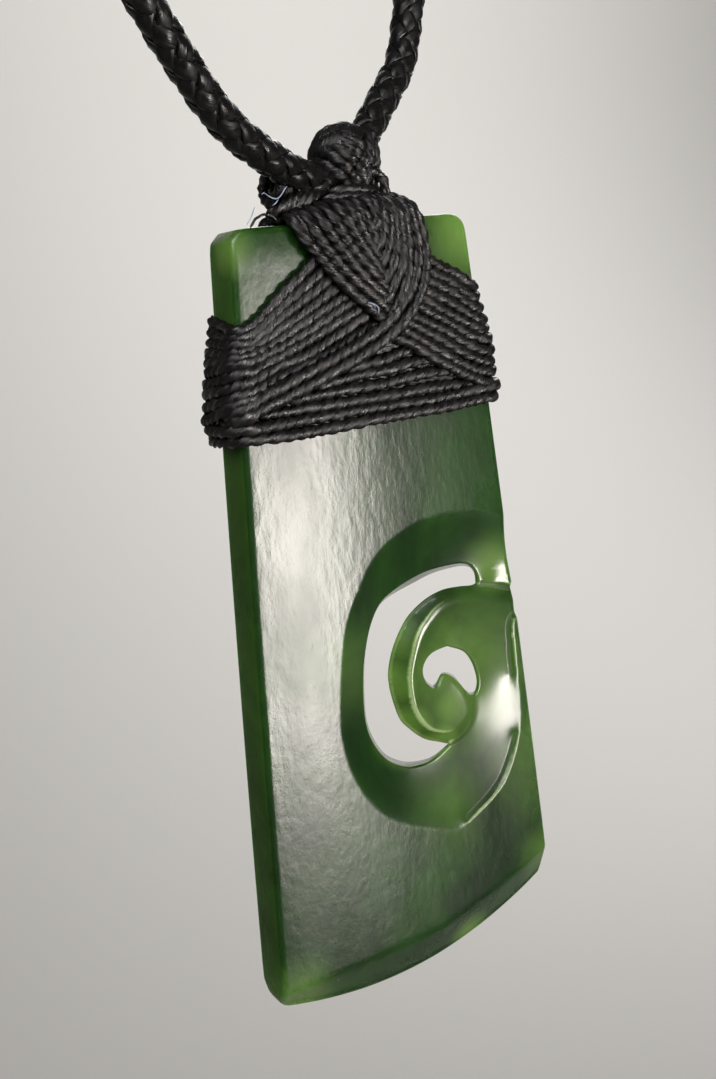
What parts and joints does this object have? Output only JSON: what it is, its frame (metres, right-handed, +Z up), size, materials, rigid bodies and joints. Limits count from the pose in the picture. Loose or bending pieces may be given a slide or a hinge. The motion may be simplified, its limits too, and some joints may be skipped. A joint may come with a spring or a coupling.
{
  "type": "greenstone adze pendant on a neck cord",
  "caption": "Flat bevelled nephrite adze blade pierced by a dished spiral, lashed at the top with waxed thread and hung on a plaited neck cord.",
  "frame": {"origin": "where the neck cord hangs: the underside of the top of its loop", "axes": "+Z up along the hanging pendant, -Y out of the blade's front face, +X to the right seen from the front"},
  "size_m": [0.1247, 0.0472, 0.341],
  "materials": {
    "nephrite": "polished translucent green nephrite, finely scratched",
    "waxed_thread": "black waxed twisted thread, satin",
    "plaited_cord": "black waxed thread in a round plait, satin"
  },
  "bodies": {
    "root": {"greenstone_blade": "nephrite", "lower_wraps": "waxed_thread", "left_diagonal_band": "waxed_thread", "right_diagonal_band": "waxed_thread", "back_band": "waxed_thread", "centre_band": "waxed_thread", "crossing_strand": "waxed_thread", "top_knot": "waxed_thread", "knot_wraps": "waxed_thread", "neck_cord": "plaited_cord"}
  },
  "joints": []
}
